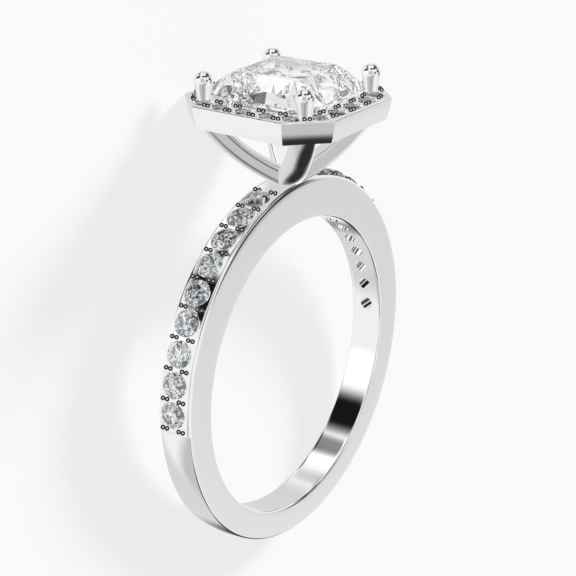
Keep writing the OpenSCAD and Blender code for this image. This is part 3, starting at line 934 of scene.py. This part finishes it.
def build_world(base, fill):
    """Soft white surroundings. Mirrored and refracted rays also meet the round boards: each is mixed over
    the last by how near a direction is to the board's middle, from the dot product of the two."""
    world = bpy.data.worlds.new("studio")
    bpy.context.scene.world = world
    world.use_nodes = True
    nodes, links = world.node_tree.nodes, world.node_tree.links
    nodes.clear()
    where = nodes.new("ShaderNodeTexCoord")
    last = None
    for lon, lat, reach, soft, value in BOARDS:
        a, b = math.radians(lon), math.radians(lat)
        dot = nodes.new("ShaderNodeVectorMath")
        dot.operation = "DOT_PRODUCT"
        links.new(where.outputs["Generated"], dot.inputs[0])
        middle = [math.cos(b) * math.sin(a), math.cos(b) * math.cos(a), math.sin(b)]
        dot.inputs[1].default_value = direction(middle)
        near = nodes.new("ShaderNodeMapRange")
        near.interpolation_type = "SMOOTHSTEP"
        near.inputs["From Min"].default_value = math.cos(math.radians(reach + soft))
        near.inputs["From Max"].default_value = math.cos(math.radians(reach - soft))
        links.new(dot.outputs["Value"], near.inputs["Value"])
        mix = nodes.new("ShaderNodeMix")
        mix.data_type = "FLOAT"
        links.new(near.outputs["Result"], mix.inputs["Factor"])
        if last is None:
            mix.inputs["A"].default_value = base
        else:
            links.new(last, mix.inputs["A"])
        mix.inputs["B"].default_value = value
        last = mix.outputs["Result"]
    path = nodes.new("ShaderNodeLightPath")
    mirrored = nodes.new("ShaderNodeMix")
    mirrored.data_type = "FLOAT"
    links.new(path.outputs["Is Glossy Ray"], mirrored.inputs["Factor"])
    mirrored.inputs["A"].default_value = fill
    links.new(last, mirrored.inputs["B"])
    crisp = nodes.new("ShaderNodeMapRange")
    crisp.inputs["From Min"].default_value = DIM
    crisp.inputs["From Max"].default_value = BRIGHT
    crisp.inputs["To Min"].default_value = DEEP
    crisp.inputs["To Max"].default_value = CLEAR
    links.new(last, crisp.inputs["Value"])
    choose = nodes.new("ShaderNodeMix")
    choose.data_type = "FLOAT"
    passed = nodes.new("ShaderNodeMath")
    passed.operation = "MINIMUM"
    links.new(path.outputs["Transmission Depth"], passed.inputs[0])
    passed.inputs[1].default_value = 1.0
    links.new(passed.outputs["Value"], choose.inputs["Factor"])
    links.new(mirrored.outputs["Result"], choose.inputs["A"])
    links.new(crisp.outputs["Result"], choose.inputs["B"])
    glow = nodes.new("ShaderNodeBackground")
    glow.inputs["Color"].default_value = (1, 1, 1, 1)
    links.new(choose.outputs["Result"], glow.inputs["Strength"])
    out = nodes.new("ShaderNodeOutputWorld")
    links.new(glow.outputs["Background"], out.inputs["Surface"])


# The key light: its width as seen from the ring, and how far right and up it lies in the picture
KEY_WIDTH = math.radians(14)
KEY_RIGHT = 0.55
KEY_UP = 0.84


def build_light(p):
    """The surroundings, and one broad soft light from the picture's upper right. Neither the metal nor the
    stones mirror that light, so it shades the floor. Its direction over the floor is the one that runs
    rightwards and upwards in the picture. Light may turn many times inside a stone."""
    scene = bpy.context.scene
    build_world(p.surround, p.fill)
    scene.view_settings.view_transform = "Standard"
    scene.cycles.max_bounces = 40
    scene.cycles.transmission_bounces = 24
    scene.cycles.glossy_bounces = 32
    lamp = bpy.data.lights.new("key", "SUN")
    lamp.angle = KEY_WIDTH
    lamp.energy = p.key
    key = bpy.data.objects.new("key", lamp)
    right, up, back = camera_axes(p)
    towards, view = direction(right * KEY_RIGHT + up * KEY_UP), direction(back)
    towards -= view * (towards[2] / view[2])
    towards /= np.linalg.norm(towards)
    towards[2] = math.tan(p.key_height)
    key.rotation_euler = Vector(towards.tolist()).to_track_quat("Z", "Y").to_euler()
    key.visible_glossy = False
    key.visible_transmission = False
    scene.collection.objects.link(key)


# Operators

class HALO_OT_metal(bpy.types.Operator):
    """Build the smooth band, halo, prong bars, claws and beads."""
    bl_idname = "halo_ring.metal"
    bl_label = "Metal"

    def execute(self, context):
        scene = context.scene
        metal = metal_material(scene.halo_looks)
        metal_piece("band_metal", band_patches(scene.halo_band), sharp=30, material=metal)
        metal_piece("halo_metal", halo_patches(scene.halo_rim), sharp=15, material=metal)
        metal_piece("prong_bars", bar_patches(scene.halo_prongs), sharp=25, material=metal)
        metal_piece("claws", claw_patches(scene.halo_prongs), sharp=50, material=metal)
        centres = bead_centres(scene.halo_band, scene.halo_rim)
        grid = ball(scene.halo_prongs.bead_r)
        beads = bead_material(scene.halo_looks)
        balls = [patch(grid + centre, close_v=True) for centre in centres]
        metal_piece("beads", balls, sharp=60, material=beads)
        return {"FINISHED"}


class HALO_OT_stones(bpy.types.Operator):
    """Give the centre stone, the shoulders' stones and the halo's stones their finishes, with painted
    sparkle flecks on the small ones.
    """
    bl_idname = "halo_ring.stones"
    bl_label = "Stones"

    def execute(self, context):
        looks = context.scene.halo_looks
        large, shader, nodes, links = stone_material(looks, "centre_diamond")
        tint = effect_group("centre_tint", scale=700, detail=1, low=0, high=1)
        tinted(nodes, links, tint, shader, (0.985, 0.99, 1.0), (1.0, 1.0, 1.0))
        small, shader, nodes, links = stone_material(looks, "small_diamond")
        # The shoulders' and the halo's stones get painted sparkle: dark, bluish and clear flecks in the
        # base colour stand in for reflected facets
        painted_sparkle_flecks(nodes, links, painted_sparkle_group("small_painted_sparkle", looks.painted_fleck_size), shader, dark=0.36, clear=0.5)
        least, shader, nodes, links = stone_material(looks, "halo_diamond")
        painted_sparkle_flecks(nodes, links, painted_sparkle_group("halo_painted_sparkle", looks.painted_fleck_size * 0.8), shader, dark=0.45, clear=0.58)
        for name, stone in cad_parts.items():
            if name == BODY:
                continue
            stone.data.materials.clear()
            kind = {"center": large, "halo": least}.get(name.split("_")[0], small)
            stone.data.materials.append(kind)
        return {"FINISHED"}


class HALO_OT_stage(bpy.types.Operator):
    """Build the floor, the light and the camera."""
    bl_idname = "halo_ring.stage"
    bl_label = "Stage"

    def execute(self, context):
        build_floor(context.scene.halo_stage)
        build_light(context.scene.halo_stage)
        build_camera(context.scene.halo_stage)
        return {"FINISHED"}


class HALO_PT_panel(bpy.types.Panel):
    """Buttons for each step."""
    bl_idname = "HALO_PT_panel"
    bl_label = "Halo ring"
    bl_space_type = "VIEW_3D"
    bl_region_type = "UI"
    bl_category = "Halo ring"

    def draw(self, context):
        for operator in OPERATORS:
            self.layout.operator(operator.bl_idname)


GROUPS = {
    "halo_band": HALO_PG_band,
    "halo_rim": HALO_PG_halo,
    "halo_prongs": HALO_PG_prongs,
    "halo_looks": HALO_PG_looks,
    "halo_stage": HALO_PG_stage,
}
OPERATORS = (HALO_OT_metal, HALO_OT_stones, HALO_OT_stage)


def register():
    """Make the settings, the steps and the panel known, and hang the settings on the scene."""
    for group in GROUPS.values():
        bpy.utils.register_class(group)
    for operator in OPERATORS:
        bpy.utils.register_class(operator)
    bpy.utils.register_class(HALO_PT_panel)
    for name, group in GROUPS.items():
        setattr(bpy.types.Scene, name, bpy.props.PointerProperty(type=group))


def unregister():
    """Take the settings, the steps and the panel away again."""
    for name in GROUPS:
        delattr(bpy.types.Scene, name)
    bpy.utils.unregister_class(HALO_PT_panel)
    for operator in reversed(OPERATORS):
        bpy.utils.unregister_class(operator)
    for group in reversed(list(GROUPS.values())):
        bpy.utils.unregister_class(group)


def main():
    """Build everything in order."""
    register()
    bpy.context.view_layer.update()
    bpy.ops.halo_ring.metal()
    bpy.ops.halo_ring.stones()
    bpy.ops.halo_ring.stage()


if __name__ == "__main__":
    main()
